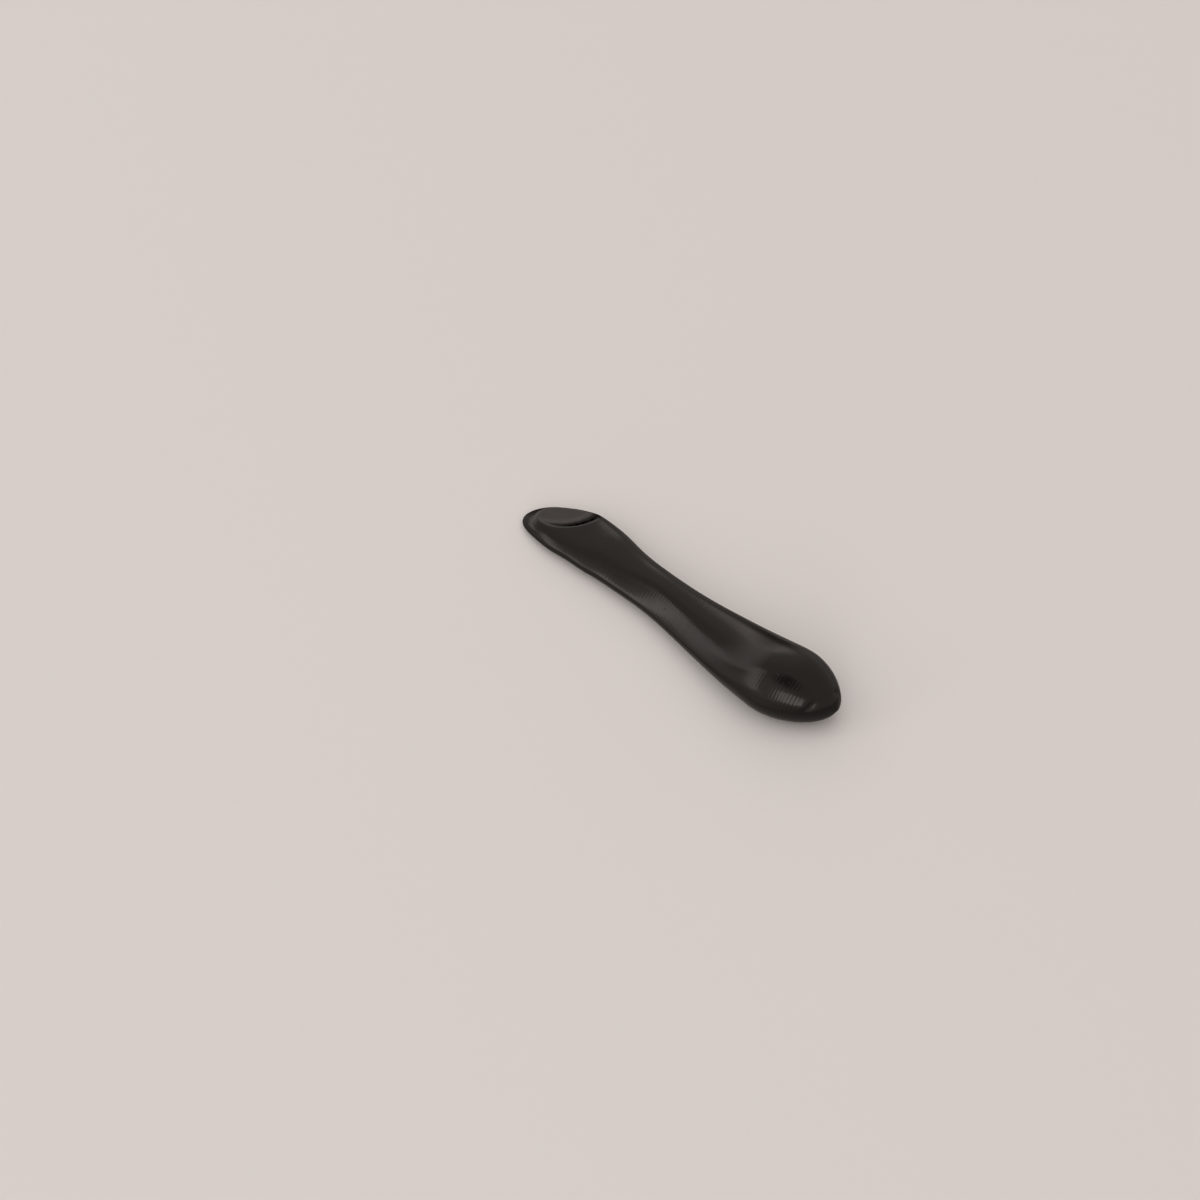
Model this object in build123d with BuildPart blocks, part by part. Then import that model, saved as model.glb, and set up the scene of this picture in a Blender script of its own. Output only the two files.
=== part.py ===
from build123d import *
import math
import os

os.makedirs("parts", exist_ok=True)

# Bone folder: a one-piece hand tool for creasing and burnishing paper. A flat blade with an
# oblique end runs through a narrow waist into a thick, rounded grip that closes in a blunt nose.
# Millimetres. +X runs from the blade to the nose, +Y is the side that the blade's shoulder is on,
# +Z is up. The tool lies on its flat underside, and the origin is the middle of its footprint.

# ---- driving sizes ----
length = 63.6
blade_width = 9.8
waist_width = 8.0
grip_width = 13.4
blade_thickness = 3.4
waist_thickness = 4.7
grip_thickness = 9.5

# The blade's end is scooped down to a thin creasing edge by a dished cut. The dish is round in
# plan, its centre is near the middle of the oblique edge, and it tilts down towards that edge.
edge_thickness = 0.9
scoop_radius = 0.88 * blade_width
scoop_centre_x = 0.02 * length - length / 2
scoop_centre_y = 0.32 * blade_width
scoop_tilt = 12
scoop_wall_angle = 50
scoop_corner_radius = 5.5
scoop_rim_radius = 0.3

# Depth of the plane cut that makes the underside truly flat.
rest_cut = 0.06

# ---- cross sections ----
# A section is four quarter curves, two over the top and two under the widest line, and a flat
# land between the lower two.
BLADE = (blade_width / 2, blade_thickness)
WAIST = (waist_width / 2, waist_thickness)
GRIP = (grip_width / 2, grip_thickness)
LAND_SHARE = 0.45
UNDER_HANDLE = 0.60

# Stations along the tool: share of the length from the blade's tip, then the near and the far
# side as shares of that zone's half width, then the underside, the widest line and the top as
# shares of that zone's thickness. The near side is at -Y.
STATIONS = [
    (0.000, BLADE, -0.73, -0.42, 0.03, 0.13, 0.25),
    (0.008, BLADE, -0.84, -0.16, 0.01, 0.16, 0.35),
    (0.025, BLADE, -0.97, 0.11, 0.00, 0.22, 0.51),
    (0.055, BLADE, -1.06, 0.42, 0.00, 0.30, 0.72),
    (0.095, BLADE, -1.11, 0.76, 0.00, 0.37, 0.88),
    (0.145, BLADE, -1.08, 0.99, 0.00, 0.43, 0.965),
    (0.205, BLADE, -1.01, 1.01, 0.00, 0.50, 1.075),
    (0.285, WAIST, -1.09, 1.09, 0.00, 0.42, 0.885),
    (0.385, WAIST, -0.98, 0.98, 0.00, 0.46, 1.00),
    (0.490, WAIST, -1.02, 1.05, 0.00, 0.51, 1.11),
    (0.590, GRIP, -0.72, 0.73, 0.00, 0.30, 0.605),
    (0.680, GRIP, -0.82, 0.85, 0.00, 0.35, 0.695),
    (0.735, GRIP, -0.87, 0.91, 0.00, 0.39, 0.79),
    (0.775, GRIP, -0.89, 0.95, 0.00, 0.42, 0.89),
    (0.815, GRIP, -0.91, 1.00, 0.00, 0.44, 0.98),
    (0.860, GRIP, -0.85, 1.08, 0.00, 0.45, 1.00),
    (0.905, GRIP, -0.67, 1.06, 0.03, 0.44, 0.94),
    (0.945, GRIP, -0.41, 0.94, 0.09, 0.42, 0.82),
    (0.977, GRIP, -0.10, 0.74, 0.19, 0.41, 0.70),
    (0.994, GRIP, 0.16, 0.57, 0.29, 0.40, 0.56),
    (1.000, GRIP, 0.28, 0.44, 0.36, 0.40, 0.45),
]

# How square the two upper corners are: share of the length, then the handles of the near quarter
# at the side and at the crown, and of the far quarter at the crown and at the side. 0.55 is a
# true ellipse, more is squarer, and less is nearer to a straight bevel.
CORNERS = [
    (0.000, 0.55, 0.55, 0.55, 0.55),
    (0.055, 0.50, 0.75, 0.75, 0.55),
    (0.145, 0.50, 0.92, 0.80, 0.60),
    (0.285, 0.36, 0.66, 0.78, 0.60),
    (0.385, 0.30, 0.45, 0.75, 0.60),
    (0.490, 0.28, 0.38, 0.70, 0.60),
    (0.680, 0.42, 0.48, 0.64, 0.60),
    (0.770, 0.50, 0.56, 0.62, 0.60),
    (1.000, 0.55, 0.56, 0.56, 0.55),
]

# The grip bulges to one side, so the middle of the footprint is beside the tool's centreline.
NEAR_EXTENT = min(near * zone[0] for _, zone, near, _, _, _, _ in STATIONS)
FAR_EXTENT = max(far * zone[0] for _, zone, _, far, _, _, _ in STATIONS)
footprint_middle = (NEAR_EXTENT + FAR_EXTENT) / 2


def corner_handles(share):
    """Handles of the two upper quarters at this share of the length, between two table rows."""
    for before, after in zip(CORNERS, CORNERS[1:]):
        if share <= after[0]:
            mix = (share - before[0]) / (after[0] - before[0])
            return [low + (high - low) * mix for low, high in zip(before[1:], after[1:])]


def quarter(start, corner, end, start_handle, end_handle):
    """Draw a quarter curve that leaves `start` and reaches `end` along the sides of `corner`."""
    handle_a = start + (corner - start) * start_handle
    handle_b = end + (corner - end) * end_handle
    Bezier(start, handle_a, handle_b, end)


with BuildPart() as folder_body:
    for share, zone, near, far, low, widest, high in STATIONS:
        half_width, thickness = zone
        near_y = near * half_width
        far_y = far * half_width
        middle_y = (near_y + far_y) / 2
        land = (far_y - near_y) / 2 * LAND_SHARE
        low_z = low * thickness - rest_cut
        widest_z = widest * thickness
        high_z = high * thickness
        near_up, near_crown, far_crown, far_up = corner_handles(share)
        # In this plane the sketch's x is the tool's Y, and its y is the tool's Z.
        station_plane = Plane(
            origin=((share - 0.5) * length, -footprint_middle, 0),
            x_dir=(0, 1, 0),
            z_dir=(1, 0, 0),
        )
        with BuildSketch(station_plane):
            with BuildLine():
                near_side = Vector(near_y, widest_z)
                far_side = Vector(far_y, widest_z)
                crown = Vector(middle_y, high_z)
                near_land = Vector(middle_y - land, low_z)
                far_land = Vector(middle_y + land, low_z)
                quarter(near_side, Vector(near_y, high_z), crown, near_up, near_crown)
                quarter(crown, Vector(far_y, high_z), far_side, far_crown, far_up)
                quarter(far_side, Vector(far_y, low_z), far_land, UNDER_HANDLE, UNDER_HANDLE)
                Line(far_land, near_land)
                quarter(near_land, Vector(near_y, low_z), near_side, UNDER_HANDLE, UNDER_HANDLE)
            make_face()
    loft()
    split(bisect_by=Plane.XY, keep=Keep.TOP)

    # The scoop: a dish turned about a tilted axis.
    axis_direction = Vector(0, 0, 1).rotate(Axis((0, 0, 0), (-1, -1, 0)), scoop_tilt)
    centre = Vector(scoop_centre_x, scoop_centre_y, edge_thickness)
    dish_plane = Plane(
        origin=centre, x_dir=(1, 1, 0), z_dir=Vector(1, 1, 0).cross(axis_direction)
    )
    dish_height = 3 * blade_thickness
    dish_rim = scoop_radius + dish_height / math.tan(math.radians(scoop_wall_angle))
    with BuildSketch(dish_plane) as dish:
        with BuildLine():
            Polyline((0, 0), (scoop_radius, 0), (dish_rim, dish_height), (0, dish_height), close=True)
        make_face()
        floor_corner = dish.vertices().group_by(Axis.Y)[0].sort_by(Axis.X)[-1]
        fillet(floor_corner, radius=scoop_corner_radius)
    revolve(axis=Axis(centre, axis_direction), mode=Mode.SUBTRACT)

    # Where the dish meets the blade's top face, the rim is rounded.
    rim = folder_body.edges(Select.LAST).sort_by(Axis.X)[-1]
    fillet(rim, radius=scoop_rim_radius)

folder_body.part.label = "folder_body"
export_step(folder_body.part, "parts/folder_body.step")
print("volume", round(folder_body.part.volume, 1), "valid", folder_body.part.is_valid)
print(folder_body.part.bounding_box())
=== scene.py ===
"""Bone folder: a small one-piece tool printed in glossy black plastic, on a pale studio floor."""
import math

import bpy
import numpy as np
from bpy.props import FloatProperty, FloatVectorProperty, IntProperty, PointerProperty
from mathutils import Matrix, Vector
from mathutils.bvhtree import BVHTree


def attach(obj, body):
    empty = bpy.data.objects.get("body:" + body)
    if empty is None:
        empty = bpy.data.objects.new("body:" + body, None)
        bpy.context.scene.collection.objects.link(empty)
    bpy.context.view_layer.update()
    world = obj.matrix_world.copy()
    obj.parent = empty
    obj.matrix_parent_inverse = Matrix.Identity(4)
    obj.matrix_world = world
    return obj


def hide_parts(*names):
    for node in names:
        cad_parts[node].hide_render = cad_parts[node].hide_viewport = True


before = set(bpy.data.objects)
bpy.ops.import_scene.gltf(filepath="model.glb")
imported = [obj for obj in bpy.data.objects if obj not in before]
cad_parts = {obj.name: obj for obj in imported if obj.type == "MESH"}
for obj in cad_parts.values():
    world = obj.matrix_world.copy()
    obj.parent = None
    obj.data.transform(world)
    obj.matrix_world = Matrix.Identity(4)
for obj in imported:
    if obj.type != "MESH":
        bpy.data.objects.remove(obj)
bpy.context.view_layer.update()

bl_info = {
    "name": "Printed Bone Folder",
    "version": (1, 0, 0),
    "blender": (4, 5, 0),
    "location": "3D View > Sidebar > Bone Folder",
    "description": "Builds a glossy black printed bone folder with its layer ridges, and a plain studio",
    "category": "Object",
}

CAD_NODE = "folder_body"
MM = 0.001
UP = Vector((0, 0, 1))
DOWN = Vector((0, 0, -1))

# ---------------------------------------------------------------------------
# Shape of the print. Plain lengths are in millimetres, those written with MM are in metres, and
# places are shares of the tool's length from the tip.
# ---------------------------------------------------------------------------

# The layers are thickest along the straight blade and finest where the top climbs to the grip.
LAYER_HEIGHTS = ((0.00, 0.58), (0.15, 0.64), (0.30, 0.63), (0.45, 0.57), (0.55, 0.52),
                 (0.68, 0.44), (0.75, 0.43), (0.81, 0.48), (0.88, 0.52), (1.00, 0.53))

# Depth of the groove between two layers. Where it is shallower than a full groove, the layers are
# more even too.
GROOVE_DEPTHS = ((0.00, 0.003), (0.46, 0.0035), (0.52, 0.009), (0.58, 0.014),
                 (0.68, 0.015), (0.90, 0.018), (0.925, 0.010), (0.94, 0.0), (1.00, 0.0))
FULL_GROOVE = 0.012

# Strength of the ridges by the distance from the middle of the scoop, which stands this far from
# the tip and to the far side. The scoop's floor was pressed smooth, and its wall shows the layers
# a little more than the blade round it.
SCOOP_PLACE = (1.3, 2.6)
SCOOP_RIDGES = ((0.0, 0.0), (5.8, 0.0), (7.0, 1.2), (9.6, 1.2), (10.6, 1.0), (80.0, 1.0))

# Stray specks of melt that the nozzle dropped: distance from the tip, sideways place and radius.
# Each is a low dome, whose crown and rings of points are given as shares of its radius.
SPECKS = ((55.2, -2.3, 0.20), (56.7, -2.7, 0.16), (57.3, -2.0, 0.12),
          (31.2, -3.0, 0.14), (8.6, 3.0, 0.12))
SPECK_CROWN = 0.55
SPECK_RINGS = ((0.4, 0.6), (0.1, 0.9), (-0.5, 1.0))
SPECK_SIDES = 10

# Near the nose the print ends in a torn seam: a low lip, a drop, then a smooth melted cap. The
# seam leans, further towards the nose on the far side. The profile gives the depth by the
# distance past the seam, and a negative depth stands proud.
SCAR_SHARE = 0.957
SCAR_LEAN = 0.30
SCAR_PROFILE = ((-90.0, 0.0), (-1.4, 0.0), (-0.4, -0.04), (0.0, 0.0), (0.25, 0.24), (0.5, 0.25),
                (1.5, 0.02), (2.4, 0.0))

# Where the body between the scoop and the grip is faired lengthwise, from not at all to fully, and
# over how many sampled sections to each side.
FAIRING = ((0.0, 0.0), (0.17, 0.0), (0.21, 1.0), (0.80, 1.0), (0.88, 0.0), (1.0, 0.0))
FAIRING_REACH = 14

# Rings across one layer, as shares of its height from its middle.
BEAD_RINGS = (-0.47, -0.30, -0.10, 0.10, 0.30, 0.47)

# The two ends are drawn in over these lengths so that they close round, and the last ring stops
# this far short of them.
TIP_ROUNDING = 0.5 * MM
NOSE_ROUNDING = 0.7 * MM
END_GAP = 0.05 * MM

# A layer keeps this share of the unevenness of the one before it. The rest is drawn afresh, from
# this many waves round the outline, and one layer differs from the next by this spread.
DRIFT_KEPT = 0.6
DRIFT_WAVES = 9
LAYER_SPREAD = 0.5

# Upward-facing parts of an outline: the height of its normal at which they begin, and how much
# more it takes until they count fully.
TOP_FACE = (0.6, 0.2)
UPPER_SIDE = (0.3, 0.3)

# How the design's solid is read: the sections' spacing, the heights at which its width is probed,
# how far to the side, below and above the probes start, and how many sections to each side the
# middles and the outlines are softened over.
SECTION_STEP = 0.2 * MM
PROBE_HEIGHTS = (0.6 * MM, 1.2 * MM, 2.5 * MM, 4.0 * MM)
PROBE_SIDE = 20 * MM
PROBE_BELOW = 10 * MM
PROBE_ABOVE = 40 * MM
MIDDLE_REACH = 4
OUTLINE_REACH = 2

# ---------------------------------------------------------------------------
# The studio. Metres, in the tool's own frame.
# ---------------------------------------------------------------------------

FLOOR_HALF = 3.0

# Soft boxes: name, direction from the tool, distance, width and height, roll in degrees, radiance
# in watts per square metre and steradian, and whether the plastic mirrors it.
SOFT_BOXES = (
    ("window_left", (-0.542, -0.682, 0.490), 1.0, (0.235, 1.15), 42, 1.45, True),
    ("window_right", (0.53, -0.77, 0.34), 1.0, (0.46, 0.58), 0, 1.40, True),
    ("tall_strip", (-0.90, 0.08, 0.41), 1.0, (1.10, 0.15), 12, 1.25, True),
    ("overhead_fill", (0.1, 0.1, 1.0), 1.5, (2.0, 2.0), 0, 0.5, False),
)

# The room is an even grey with soft patches: direction from the tool, the cosine from the patch's
# middle at which it begins, the cosine at which it is full, and its change of level.
ROOM_LEVEL = 0.48
ROOM_PATCHES = (
    ((0, -1, 0.2), 0.55, 0.80, 0.20),               # the pale wall on the near side
    ((0.20, -0.30, 0.93), 0.93, 0.98, -0.36),       # a dark stretch of ceiling
    ((-0.68, 0.66, 0.33), 0.970, 0.994, 0.80),      # a small opening that the scoop's floor mirrors
    ((-0.45, 0.55, 0.70), 0.86, 0.98, 0.11),        # the paler wall above that opening
    ((-0.78, 0.62, 0.0), 0.90, 0.98, -0.30),        # the darker corner under it
    ((0, 0, -1), -0.02, 0.25, -0.24),               # the darker ground
)

SENSOR_WIDTH = 36.0
CLIP_NEAR = 0.01
CLIP_FAR = 20.0


def hex_to_linear(code):
    """Turn an sRGB hex colour into the linear RGBA that shaders take."""
    channels = [int(code[i:i + 2], 16) / 255 for i in (1, 3, 5)]
    linear = [c / 12.92 if c <= 0.04045 else ((c + 0.055) / 1.055) ** 2.4 for c in channels]
    return (*linear, 1.0)


def per_metre(millimetres):
    """Texture scale, in cells per metre, for a pattern whose cell has this size."""
    return 1000.0 / millimetres


def read_table(table, place):
    """Read a small table of (place, value) pairs, by straight lines between its rows."""
    places, values = zip(*table)
    return np.interp(place, places, values)


def smooth_noise(rng, count):
    """One smooth closed random curve around the section, mostly between -2 and 2."""
    angle = np.linspace(0, 2 * math.pi, count, endpoint=False)
    curve = np.zeros(count)
    for wave in range(1, DRIFT_WAVES + 1):
        size = rng.normal() / wave
        curve += size * np.cos(wave * angle + rng.uniform(0, 2 * math.pi))
    return curve


# ---------------------------------------------------------------------------
# The printed body: the design's solid, cut into layers as a slicer cuts it
# ---------------------------------------------------------------------------

class DesignSections:
    """Cross sections of the design's solid, on planes square to the direction it was printed in."""

    def __init__(self, node, lean, points):
        mesh = node.data
        corners = np.empty(len(mesh.vertices) * 3)
        mesh.vertices.foreach_get("co", corners)
        corners = corners.reshape(-1, 3)
        faces = [tuple(face.vertices) for face in mesh.polygons]
        self.tree = BVHTree.FromPolygons([tuple(corner) for corner in corners], faces)
        self.points = points
        along = corners[:, 0] + math.tan(lean) * corners[:, 1]
        self.start = along.min()
        self.end = along.max()
        self.across = Vector((-math.sin(lean), math.cos(lean), 0.0))
        self._sample()

    def _middle(self, along):
        """Middle of the section at this station and half its size, each as sideways and height."""
        hits = []
        for height in PROBE_HEIGHTS:
            origin = Vector((along, 0.0, height))
            for side in (1, -1):
                start = origin + self.across * (side * PROBE_SIDE)
                hit = self.tree.ray_cast(start, self.across * -side)[0]
                if hit is not None:
                    hits.append((hit - origin).dot(self.across))
        if not hits:
            return None
        middle = (min(hits) + max(hits)) / 2
        foot = Vector((along, 0.0, -PROBE_BELOW)) + self.across * middle
        bottom = self.tree.ray_cast(foot, UP)[0]
        top = self.tree.ray_cast(foot + UP * PROBE_ABOVE, DOWN)[0]
        if bottom is None or top is None:
            return None
        return middle, (bottom.z + top.z) / 2, (max(hits) - min(hits)) / 2, (top.z - bottom.z) / 2

    def _sample(self):
        """Read the outlines of all sections, softened lengthwise, and faired behind the scoop."""
        count = int((self.end - self.start) / SECTION_STEP)
        stations = self.start + (np.arange(count) + 0.5) / count * (self.end - self.start)
        kept, middles = [], []
        for along in stations:
            middle = self._middle(along)
            if middle is not None:
                kept.append(along)
                middles.append(middle)
        self.stations = np.array(kept)
        middles = np.array(middles)
        for column in range(4):
            middles[:, column] = soften(middles[:, column], MIDDLE_REACH)
        angle = np.linspace(0, 2 * math.pi, self.points, endpoint=False)
        loops = np.zeros((len(kept), self.points, 2))
        for row, along in enumerate(kept):
            sideways, height, half_width, half_height = middles[row]
            centre = Vector((along, 0.0, height)) + self.across * sideways
            for column in range(self.points):
                step_side = half_width * math.cos(angle[column])
                step_up = half_height * math.sin(angle[column])
                heading = (self.across * step_side + UP * step_up).normalized()
                hit = self.tree.ray_cast(centre, heading)[0]
                reach = (hit - centre).length if hit is not None else 0.0
                flat = math.hypot(step_side, step_up)
                loops[row, column] = (sideways + reach * step_side / flat,
                                      height + reach * step_up / flat)
        close = np.apply_along_axis(soften, 0, loops, OUTLINE_REACH)
        faired = np.apply_along_axis(soften, 0, loops, FAIRING_REACH)
        mix = read_table(FAIRING, (self.stations - self.start) / (self.end - self.start))
        self.loops = close + (faired - close) * mix[:, None, None]

    def loop(self, along):
        """Outline at this station, as rows of sideways and height."""
        along = min(max(along, self.stations[0]), self.stations[-1])
        place = np.interp(along, self.stations, np.arange(len(self.stations)))
        low = int(min(math.floor(place), len(self.stations) - 2))
        mix = place - low
        return self.loops[low] * (1 - mix) + self.loops[low + 1] * mix


def soften(values, reach):
    """Running mean of a row of numbers, with its ends held."""
    padded = np.concatenate([np.full(reach, values[0]), values, np.full(reach, values[-1])])
    weights = np.hanning(2 * reach + 3)[1:-1]
    return np.convolve(padded, weights / weights.sum(), mode="valid")


def outward(loop):
    """Unit normals of a closed outline, pointing out."""
    run = np.roll(loop, -1, axis=0) - np.roll(loop, 1, axis=0)
    normal = np.stack([run[:, 1], -run[:, 0]], axis=1)
    return normal / np.maximum(np.linalg.norm(normal, axis=1, keepdims=True), 1e-12)


def layer_list(start, end):
    """Middles and heights of the print's layers from the tip to the nose, in metres."""
    layers = []
    edge = start
    while edge < end:
        height = read_table(LAYER_HEIGHTS, (edge - start) / (end - start)) * MM
        layers.append((edge + height / 2, height))
        edge += height
    return layers


def build_print_mesh(settings):
    """Return the design's sections and the print's rings, each as a station and its outline."""
    sections = DesignSections(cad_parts[CAD_NODE], settings.layer_lean, settings.points_around)
    rng = np.random.default_rng(settings.seed)
    count = settings.points_around
    span = sections.end - sections.start
    seam = smooth_noise(rng, count) * settings.seam_wobble
    drift = np.zeros(count)
    rings = []
    for middle, height in layer_list(sections.start, sections.end):
        share = (middle - sections.start) / span
        depth = float(read_table(GROOVE_DEPTHS, share)) * MM
        drift = DRIFT_KEPT * drift + (1 - DRIFT_KEPT) * smooth_noise(rng, count)
        layer_in = settings.layer_wander * np.maximum(1 + LAYER_SPREAD * rng.normal() + drift, 0)
        fade = min(depth / (FULL_GROOVE * MM), 1.0)
        for ring in BEAD_RINGS:
            along = middle + ring * height
            if not sections.start + END_GAP < along < sections.end - END_GAP:
                continue
            loop = sections.loop(along)
            normal = outward(loop)
            ridge = ridge_share(sections, along, loop, normal)
            stepped = sections.loop(along - ring * height * settings.terrace * fade)
            loop = loop + (stepped - loop) * ridge[:, None]
            inset = (depth * (2 * ring) ** 2 + fade * layer_in) * ridge
            inset = inset + scar_inset(sections, along, loop, normal, seam)
            rings.append((along, close_end(loop - normal * inset[:, None], along, sections)))
    return sections, rings


def facing_up(normal, band):
    """How fully each point of an outline faces up, from 0 to 1."""
    start, spread = band
    return np.clip((normal[:, 1] - start) / spread, 0, 1)


def ridge_share(sections, along, loop, normal):
    """Strength of the ridges round this outline, which fall away on the scoop's floor."""
    from_tip = (along - sections.start) / MM - SCOOP_PLACE[0]
    distance = np.hypot(from_tip, loop[:, 0] / MM - SCOOP_PLACE[1])
    return 1 + facing_up(normal, TOP_FACE) * (read_table(SCOOP_RIDGES, distance) - 1)


def scar_inset(sections, along, loop, normal, seam):
    """Depth of the torn seam below the plain surface, round this outline's upper side."""
    place = sections.start + SCAR_SHARE * (sections.end - sections.start) + SCAR_LEAN * loop[:, 0]
    depth = read_table(SCAR_PROFILE, (along - place - seam) / MM) * MM
    return depth * facing_up(normal, UPPER_SIDE)


def speck_points(sections, from_tip, sideways, radius):
    """Points and faces of one low round speck of melt, half sunk in the top surface."""
    above = Vector((sections.start + from_tip * MM, sideways * MM, PROBE_ABOVE))
    foot = sections.tree.ray_cast(above, DOWN)[0]
    if foot is None:
        raise RuntimeError("a speck of melt lies beside the tool")
    points = [foot + UP * (radius * MM * SPECK_CROWN)]
    for height, spread in SPECK_RINGS:
        for step in range(SPECK_SIDES):
            angle = 2 * math.pi * step / SPECK_SIDES
            offset = Vector((spread * math.cos(angle), spread * math.sin(angle), height))
            points.append(foot + offset * radius * MM)
    faces = []
    for step in range(SPECK_SIDES):
        after = (step + 1) % SPECK_SIDES
        faces.append((0, 1 + step, 1 + after))
        for ring in range(len(SPECK_RINGS) - 1):
            low = 1 + ring * SPECK_SIDES
            high = low + SPECK_SIDES
            faces.append((low + step, high + step, high + after, low + after))
    return points, faces


def close_end(loop, along, sections):
    """Draw an outline in towards its middle over the last stretch, so that the end is round."""
    centre = loop.mean(axis=0)
    for edge, reach in ((sections.start, TIP_ROUNDING), (sections.end, NOSE_ROUNDING)):
        left = abs(along - edge)
        if left < reach:
            lack = 1 - left / reach
            loop = centre + (loop - centre) * math.sqrt(max(1 - lack * lack, 0.0))
    return loop


def skin(sections, rings, count):
    """Points and faces of the closed surface through all rings, with a point at each end."""
    across = sections.across
    points = []
    for along, loop in rings:
        for sideways, height in loop:
            points.append((along + across.x * sideways, across.y * sideways, height))
    faces = []
    for ring in range(len(rings) - 1):
        here = ring * count
        there = here + count
        for column in range(count):
            after = (column + 1) % count
            faces.append((here + column, here + after, there + after, there + column))
    first = len(points)
    last = first + 1
    for (_, loop), end in ((rings[0], sections.start), (rings[-1], sections.end)):
        sideways, height = loop.mean(axis=0)
        points.append((end + across.x * sideways, across.y * sideways, height))
    base = first - count
    for column in range(count):
        after = (column + 1) % count
        faces.append((first, after, column))
        faces.append((last, base + column, base + after))
    return points, faces


# ---------------------------------------------------------------------------
# Materials
# ---------------------------------------------------------------------------

def add_node(tree, kind, settings=None, inputs=None, links=None):
    """Add a node with its settings, its input values and the links that feed it."""
    node = tree.nodes.new(kind)
    for name, value in (settings or {}).items():
        setattr(node, name, value)
    for name, value in (inputs or {}).items():
        node.inputs[name].default_value = value
    for name, source in (links or {}).items():
        tree.links.new(source, node.inputs[name])
    return node


def new_material(name):
    """Start an empty material with its output node."""
    material = bpy.data.materials.new(name)
    material.use_nodes = True
    tree = material.node_tree
    tree.nodes.clear()
    return material, tree, add_node(tree, "ShaderNodeOutputMaterial")


def printed_black_plastic(settings):
    """Black PLA laid down in layers by a hot nozzle, left as printed."""
    # The melt sets glossy, so it is nearly black with clear, soft-edged highlights, which the
    # grooves between the beads break into fine bars.
    material, tree, output = new_material("printed_black_plastic")
    place = add_node(tree, "ShaderNodeTexCoord").outputs["Object"]

    # Smudges a few millimetres across, where the tool was handled, dull the gloss a little.
    smudge = add_node(tree, "ShaderNodeTexNoise", inputs={"Scale": per_metre(5.0), "Detail": 4.0},
                      links={"Vector": place})
    gloss = add_node(tree, "ShaderNodeMapRange",
                     inputs={"From Min": 0.35, "From Max": 0.7,
                             "To Min": settings.roughness_low, "To Max": settings.roughness_high},
                     links={"Value": smudge.outputs["Fac"]})

    # The melt leaves a fine ripple along each bead.
    ripple = add_node(tree, "ShaderNodeTexNoise", inputs={"Scale": per_metre(0.35), "Detail": 3.0},
                      links={"Vector": place})
    bump = add_node(tree, "ShaderNodeBump", inputs={"Strength": 0.25, "Distance": 0.02 * MM},
                    links={"Height": ripple.outputs["Fac"]})
    shader = add_node(tree, "ShaderNodeBsdfPrincipled",
                      inputs={"Base Color": (*settings.colour, 1.0), "IOR": settings.refraction},
                      links={"Roughness": gloss.outputs["Result"], "Normal": bump.outputs["Normal"]})
    tree.links.new(shader.outputs["BSDF"], output.inputs["Surface"])
    return material


def pale_board(settings):
    """Fibreboard under a rolled matt emulsion."""
    # It looks an even soft white with no shine, and the roller leaves a very slight tooth.
    material, tree, output = new_material("matt_painted_board")
    place = add_node(tree, "ShaderNodeTexCoord").outputs["Object"]
    tooth = add_node(tree, "ShaderNodeTexNoise", inputs={"Scale": per_metre(1.2), "Detail": 5.0},
                     links={"Vector": place})
    bump = add_node(tree, "ShaderNodeBump", inputs={"Strength": 0.1, "Distance": 0.05 * MM},
                    links={"Height": tooth.outputs["Fac"]})
    shader = add_node(tree, "ShaderNodeBsdfPrincipled",
                      inputs={"Base Color": (*settings.floor_colour, 1.0), "Roughness": 0.75},
                      links={"Normal": bump.outputs["Normal"]})
    tree.links.new(shader.outputs["BSDF"], output.inputs["Surface"])
    return material


# ---------------------------------------------------------------------------
# Settings
# ---------------------------------------------------------------------------

class PrintSettings(bpy.types.PropertyGroup):
    """Sizes of the printed body's surface."""

    points_around: IntProperty(
        name="Points Around", description="Points around one layer's outline", default=112, min=24)
    layer_lean: FloatProperty(
        name="Layer Lean", description="Turn of the layers away from square to the tool",
        default=math.radians(5), subtype="ANGLE")
    terrace: FloatProperty(
        name="Terrace", description="How far a layer keeps its own outline, from smooth to stepped",
        default=0.06, min=0, max=1, subtype="FACTOR")
    layer_wander: FloatProperty(
        name="Layer Wander", description="How far one layer may stand in from its neighbours",
        default=0.0015 * MM, unit="LENGTH", precision=6)
    seam_wobble: FloatProperty(
        name="Seam Wobble", description="How unevenly the torn seam runs round the nose",
        default=0.18 * MM, unit="LENGTH", precision=6)
    seed: IntProperty(name="Seed", description="Seed of the small irregularities", default=7)


class FinishSettings(bpy.types.PropertyGroup):
    """Surface finish of the plastic."""

    colour: FloatVectorProperty(
        name="Plastic Colour", description="Colour of the plastic itself, under its gloss", size=3,
        default=hex_to_linear("#0E0D0C")[:3], subtype="COLOR", min=0, max=1)
    refraction: FloatProperty(
        name="Refractive Index", description="Refractive index of the plastic", default=1.46)
    roughness_low: FloatProperty(
        name="Lowest Roughness", description="Roughness where the plastic is untouched",
        default=0.13, subtype="FACTOR")
    roughness_high: FloatProperty(
        name="Highest Roughness", description="Roughness where the plastic is smudged",
        default=0.22, subtype="FACTOR")


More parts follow.
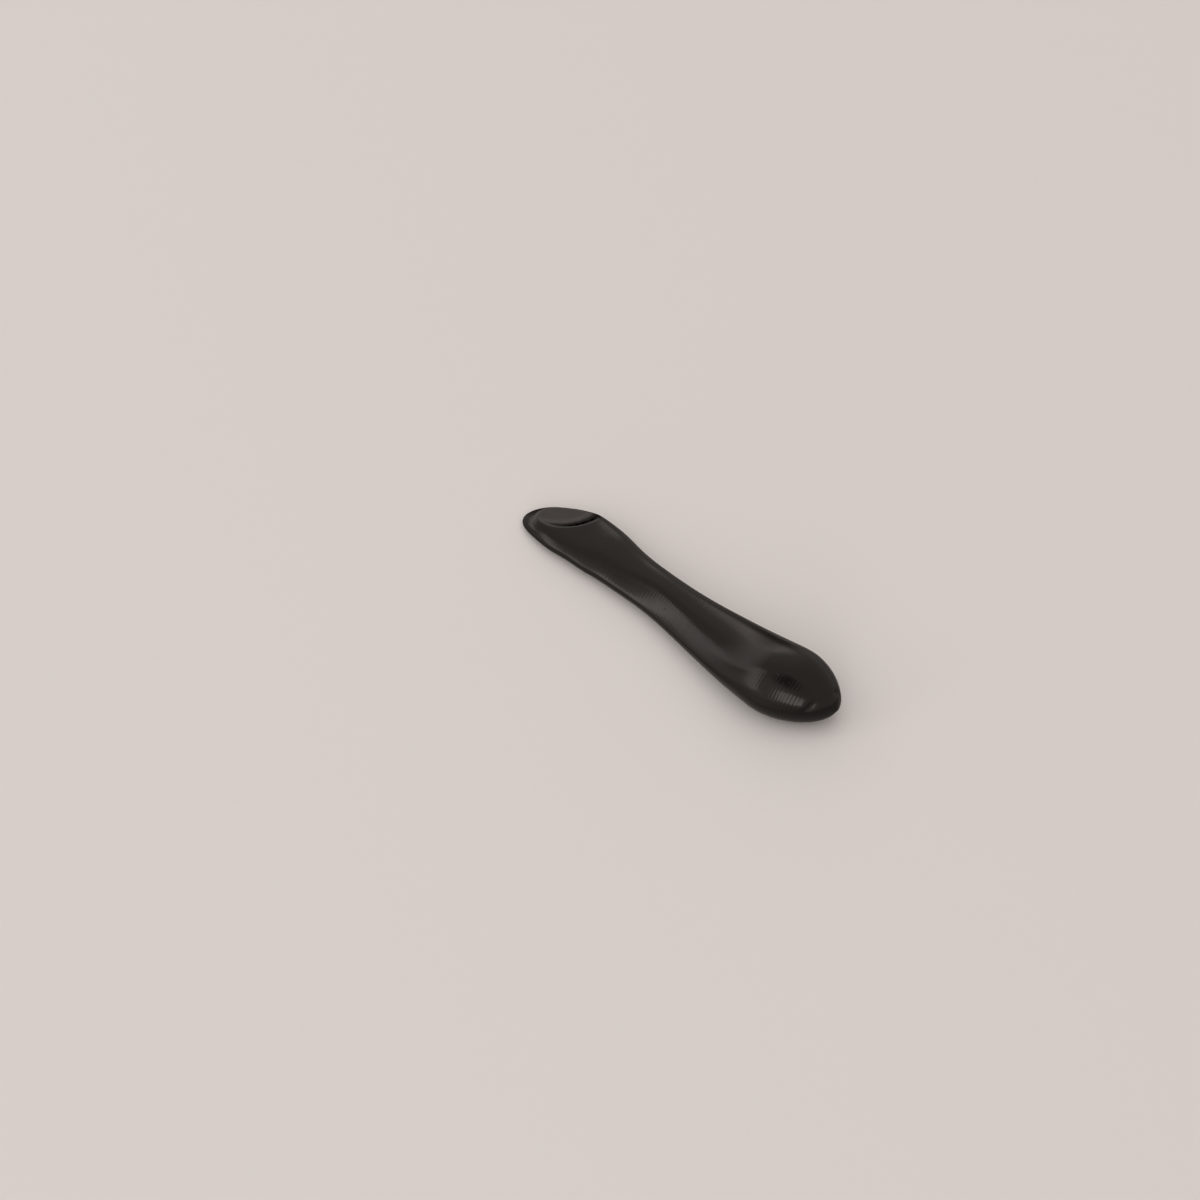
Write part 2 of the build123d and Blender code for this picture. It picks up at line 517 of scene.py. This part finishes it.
class StudioSettings(bpy.types.PropertyGroup):
    """Floor, light and camera."""

    floor_colour: FloatVectorProperty(
        name="Floor Colour", description="Colour of the board that the tool lies on", size=3,
        default=hex_to_linear("#ECEEF0")[:3], subtype="COLOR", min=0, max=1)
    azimuth: FloatProperty(
        name="Camera Azimuth", description="Turn of the camera about the tool, from the near side",
        default=math.radians(44.7), subtype="ANGLE")
    elevation: FloatProperty(
        name="Camera Elevation", description="Height of the camera above the floor, as an angle",
        default=math.radians(53.3), subtype="ANGLE")
    focal_length: FloatProperty(
        name="Focal Length", description="Focal length of the lens in millimetres", default=180,
        unit="CAMERA")
    frame_width: FloatProperty(
        name="Frame Width", description="Width of the picture at the tool", default=0.1905,
        unit="LENGTH")
    aim_right: FloatProperty(
        name="Aim Right", description="How far right of the picture's middle the tool's origin is",
        default=0.01306, unit="LENGTH")
    aim_down: FloatProperty(
        name="Aim Down", description="How far below the picture's middle the tool's origin is",
        default=0.00272, unit="LENGTH")


# ---------------------------------------------------------------------------
# Operators
# ---------------------------------------------------------------------------

class FOLDER_OT_printed_body(bpy.types.Operator):
    """Build the printed body layer by layer from the design's solid"""

    bl_idname = "folder.printed_body"
    bl_label = "Printed Body"

    def execute(self, context):
        settings = context.scene.folder_print
        sections, rings = build_print_mesh(settings)
        points, faces = skin(sections, rings, settings.points_around)
        for speck in SPECKS:
            speck_corners, speck_faces = speck_points(sections, *speck)
            faces += [tuple(corner + len(points) for corner in face) for face in speck_faces]
            points += [tuple(corner) for corner in speck_corners]
        mesh = bpy.data.meshes.new("printed_body")
        mesh.from_pydata(points, [], faces)
        mesh.validate()
        mesh.shade_smooth()
        body = bpy.data.objects.new("printed_body", mesh)
        context.scene.collection.objects.link(body)
        mesh.materials.append(printed_black_plastic(context.scene.folder_finish))
        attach(body, "root")
        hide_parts(CAD_NODE)
        return {"FINISHED"}


class FOLDER_OT_stage(bpy.types.Operator):
    """Set up the floor, the lights and the camera"""

    bl_idname = "folder.stage"
    bl_label = "Stage"

    def execute(self, context):
        settings = context.scene.folder_studio
        self.lay_floor(context, settings)
        self.hang_lights(context)
        context.scene.world = self.paint_room()
        self.set_camera(context, settings)
        # Plain colours, with no film curve over them.
        context.scene.view_settings.view_transform = "Standard"
        return {"FINISHED"}

    def lay_floor(self, context, settings):
        """A wide flat board under the tool, which the plastic doesn't mirror."""
        mesh = bpy.data.meshes.new("studio_floor")
        corners = [(x * FLOOR_HALF, y * FLOOR_HALF, 0) for x, y in ((-1, -1), (1, -1), (1, 1), (-1, 1))]
        mesh.from_pydata(corners, [], [(0, 1, 2, 3)])
        mesh.materials.append(pale_board(settings))
        floor = bpy.data.objects.new("studio_floor", mesh)
        context.scene.collection.objects.link(floor)
        floor.visible_glossy = False

    def hang_lights(self, context):
        """Soft boxes all round, each facing the tool."""
        for name, direction, distance, size, roll, radiance, mirrored in SOFT_BOXES:
            light = bpy.data.lights.new(name, "AREA")
            light.shape = "RECTANGLE"
            light.size, light.size_y = size
            light.color = hex_to_linear("#FFF8F4")[:3]
            light.energy = radiance * math.pi * size[0] * size[1]
            lamp = bpy.data.objects.new(name, light)
            heading = Vector(direction).normalized()
            lamp.location = heading * distance
            facing = heading.to_track_quat("Z", "Y").to_matrix().to_4x4()
            turn = Matrix.Rotation(math.radians(roll), 4, heading)
            lamp.rotation_euler = (turn @ facing).to_euler()
            lamp.visible_glossy = mirrored
            context.scene.collection.objects.link(lamp)

    def paint_room(self):
        """The room round the studio, an even grey with its soft patches added one by one."""
        world = bpy.data.worlds.new("studio_room")
        world.use_nodes = True
        tree = world.node_tree
        tree.nodes.clear()
        heading = add_node(tree, "ShaderNodeTexCoord").outputs["Generated"]
        light = None
        for direction, near, far, change in ROOM_PATCHES:
            toward = add_node(tree, "ShaderNodeVectorMath", settings={"operation": "DOT_PRODUCT"},
                              inputs={1: Vector(direction).normalized()}, links={0: heading})
            patch = add_node(tree, "ShaderNodeMapRange", settings={"interpolation_type": "SMOOTHSTEP"},
                             inputs={"From Min": near, "From Max": far, "To Max": change},
                             links={"Value": toward.outputs["Value"]})
            sources = {0: patch.outputs["Result"]}
            if light is not None:
                sources[1] = light
            total = add_node(tree, "ShaderNodeMath", settings={"operation": "ADD"},
                             inputs={1: ROOM_LEVEL}, links=sources)
            light = total.outputs["Value"]
        back = add_node(tree, "ShaderNodeBackground", inputs={"Color": hex_to_linear("#FFF0E6")},
                        links={"Strength": light})
        output = add_node(tree, "ShaderNodeOutputWorld")
        tree.links.new(back.outputs["Background"], output.inputs["Surface"])
        return world

    def set_camera(self, context, settings):
        """Camera above the near side, with the tool right of the middle of the picture."""
        azimuth, elevation = settings.azimuth, settings.elevation
        toward = Vector((math.cos(elevation) * math.sin(azimuth),
                         -math.cos(elevation) * math.cos(azimuth), math.sin(elevation)))
        right = UP.cross(toward).normalized()
        up = toward.cross(right)
        data = bpy.data.cameras.new("studio_camera")
        data.lens = settings.focal_length
        data.sensor_width = SENSOR_WIDTH
        distance = settings.frame_width * settings.focal_length / data.sensor_width
        data.clip_start = CLIP_NEAR
        data.clip_end = CLIP_FAR
        camera = bpy.data.objects.new("studio_camera", data)
        aim = up * settings.aim_down - right * settings.aim_right
        camera.location = aim + toward * distance
        camera.rotation_euler = toward.to_track_quat("Z", "Y").to_euler()
        context.scene.collection.objects.link(camera)
        context.scene.camera = camera


class FOLDER_PT_sidebar(bpy.types.Panel):
    """Steps and settings of the bone folder"""

    bl_idname = "FOLDER_PT_sidebar"
    bl_label = "Bone Folder"
    bl_space_type = "VIEW_3D"
    bl_region_type = "UI"
    bl_category = "Bone Folder"

    def draw(self, context):
        layout = self.layout
        for step in STEPS:
            layout.operator(step.bl_idname)
        for name in GROUPS:
            group = getattr(context.scene, name)
            box = layout.box()
            for setting in group.bl_rna.properties.keys():
                if setting not in ("rna_type", "name"):
                    box.prop(group, setting)


GROUPS = {
    "folder_print": PrintSettings,
    "folder_finish": FinishSettings,
    "folder_studio": StudioSettings,
}
STEPS = (FOLDER_OT_printed_body, FOLDER_OT_stage)


def register():
    for kind in (*GROUPS.values(), *STEPS, FOLDER_PT_sidebar):
        bpy.utils.register_class(kind)
    for name, group in GROUPS.items():
        setattr(bpy.types.Scene, name, PointerProperty(type=group))


def unregister():
    for name in GROUPS:
        delattr(bpy.types.Scene, name)
    for kind in reversed((*GROUPS.values(), *STEPS, FOLDER_PT_sidebar)):
        bpy.utils.unregister_class(kind)


def main():
    register()
    bpy.ops.folder.printed_body()
    bpy.ops.folder.stage()
    bpy.context.view_layer.update()


if __name__ == "__main__":
    main()
